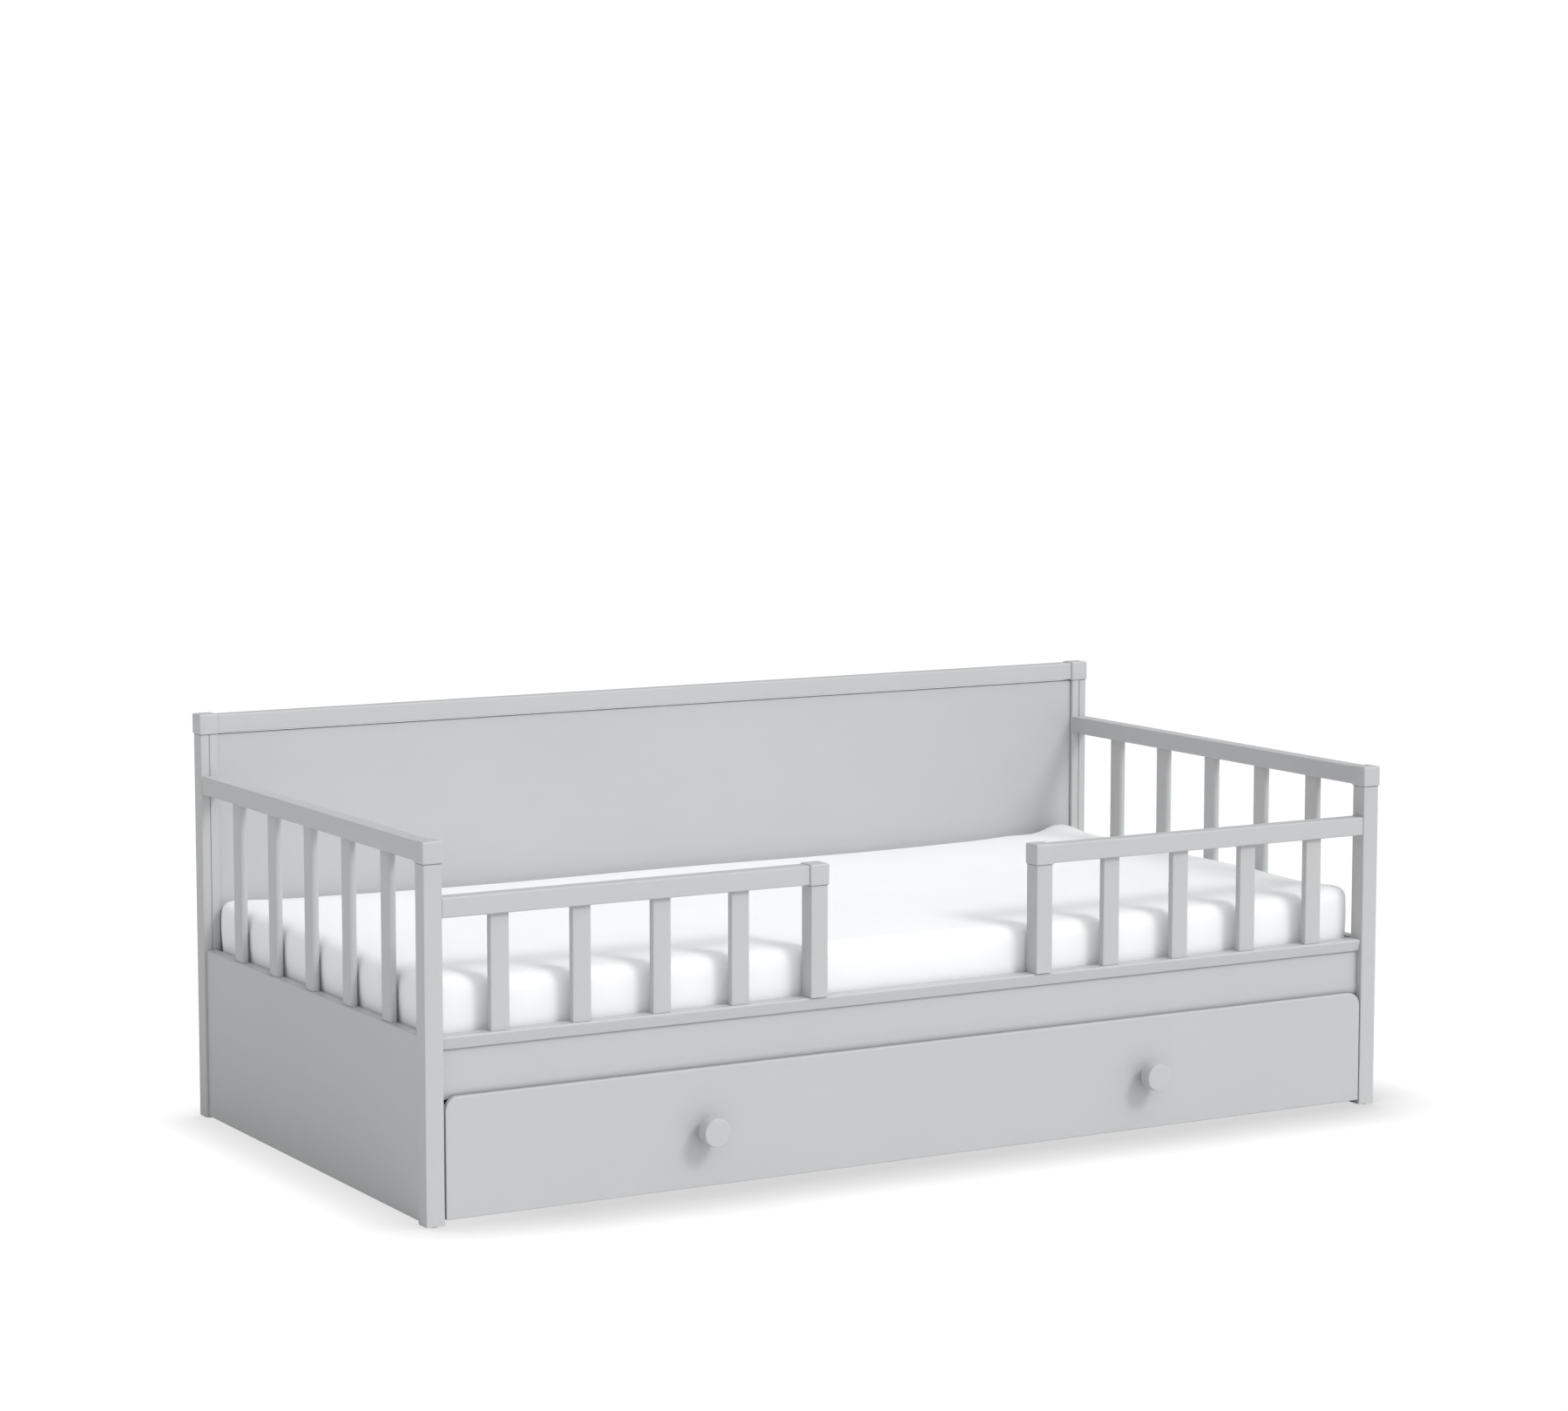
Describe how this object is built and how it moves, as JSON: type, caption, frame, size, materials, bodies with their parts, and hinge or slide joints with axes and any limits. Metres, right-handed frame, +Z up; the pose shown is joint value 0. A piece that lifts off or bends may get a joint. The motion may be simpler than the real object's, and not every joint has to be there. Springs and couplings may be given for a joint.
{
  "type": "toddler bed",
  "caption": "Day-bed style toddler bed with a tall back panel, spindled ends, low front guards with an entry gap, a mattress on slats and a rolling drawer underneath.",
  "frame": {"origin": "on the floor, under the middle of the overall box, which the drawer knobs lengthen at the front", "axes": "+X along the bed to the right seen from its open side, +Y towards the tall back, +Z up"},
  "size_m": [1.6534, 0.8848, 0.635],
  "materials": {
    "painted_wood": "light cool grey satin paint on wood and board",
    "bare_wood": "bare pine, planed, with woven white tape stapled across the slats",
    "drawer_board": "thin board with a pale matt facing",
    "mattress_fabric": "white fitted cotton cover",
    "foot_plastic": "dark nail-on glides",
    "wheel_plastic": "dark grey moulded nylon"
  },
  "bodies": {
    "bed": {"post_front_left": "painted_wood", "cap_front_left": "painted_wood", "post_front_right": "painted_wood", "cap_front_right": "painted_wood", "post_back_left": "painted_wood", "cap_back_left": "painted_wood", "post_back_right": "painted_wood", "cap_back_right": "painted_wood", "side_panel_left": "painted_wood", "end_rail_left": "painted_wood", "spindle_left_1": "painted_wood", "spindle_left_2": "painted_wood", "spindle_left_3": "painted_wood", "spindle_left_4": "painted_wood", "spindle_left_5": "painted_wood", "side_panel_right": "painted_wood", "end_rail_right": "painted_wood", "spindle_right_1": "painted_wood", "spindle_right_2": "painted_wood", "spindle_right_3": "painted_wood", "spindle_right_4": "painted_wood", "spindle_right_5": "painted_wood", "back_rail": "painted_wood", "back_panel": "painted_wood", "front_ledge": "painted_wood", "front_apron": "painted_wood", "guard_post_left": "painted_wood", "guard_cap_left": "painted_wood", "guard_rail_left": "painted_wood", "guard_slat_left_1": "painted_wood", "guard_slat_left_2": "painted_wood", "guard_slat_left_3": "painted_wood", "guard_slat_left_4": "painted_wood", "guard_post_right": "painted_wood", "guard_cap_right": "painted_wood", "guard_rail_right": "painted_wood", "guard_slat_right_1": "painted_wood", "guard_slat_right_2": "painted_wood", "guard_slat_right_3": "painted_wood", "guard_slat_right_4": "painted_wood", "foot_front_left": "foot_plastic", "foot_front_right": "foot_plastic", "foot_back_left": "foot_plastic", "foot_back_right": "foot_plastic", "support_rail_front": "bare_wood", "support_rail_back": "bare_wood", "slatted_base": "bare_wood", "mattress": "mattress_fabric"},
    "drawer": {"drawer_front": "painted_wood", "drawer_side_left": "painted_wood", "drawer_side_right": "painted_wood", "drawer_back": "painted_wood", "knob_left": "painted_wood", "knob_right": "painted_wood", "drawer_bottom": "drawer_board"},
    "wheel_front_left": {"wheel_front_left": "wheel_plastic"},
    "wheel_front_right": {"wheel_front_right": "wheel_plastic"},
    "wheel_back_left": {"wheel_back_left": "wheel_plastic"},
    "wheel_back_right": {"wheel_back_right": "wheel_plastic"}
  },
  "joints": [
    {"name": "drawer_slide", "type": "slide", "parent": "bed", "child": "drawer", "axis": [0, -1, 0], "range_m": [0, 0.6]},
    {"name": "wheel_front_left_spin", "type": "hinge", "parent": "drawer", "child": "wheel_front_left", "pos_m": [-0.772, -0.33137, 0.02], "axis": [1, 0, 0], "continuous": true},
    {"name": "wheel_front_right_spin", "type": "hinge", "parent": "drawer", "child": "wheel_front_right", "pos_m": [0.772, -0.33137, 0.02], "axis": [1, 0, 0], "continuous": true},
    {"name": "wheel_back_left_spin", "type": "hinge", "parent": "drawer", "child": "wheel_back_left", "pos_m": [-0.772, 0.29363, 0.02], "axis": [1, 0, 0], "continuous": true},
    {"name": "wheel_back_right_spin", "type": "hinge", "parent": "drawer", "child": "wheel_back_right", "pos_m": [0.772, 0.29363, 0.02], "axis": [1, 0, 0], "continuous": true}
  ],
  "couplings": [
    {"joint": "wheel_front_left_spin", "follows": "drawer_slide", "rad_per_m": 50},
    {"joint": "wheel_front_right_spin", "follows": "drawer_slide", "rad_per_m": 50},
    {"joint": "wheel_back_left_spin", "follows": "drawer_slide", "rad_per_m": 50},
    {"joint": "wheel_back_right_spin", "follows": "drawer_slide", "rad_per_m": 50}
  ]
}
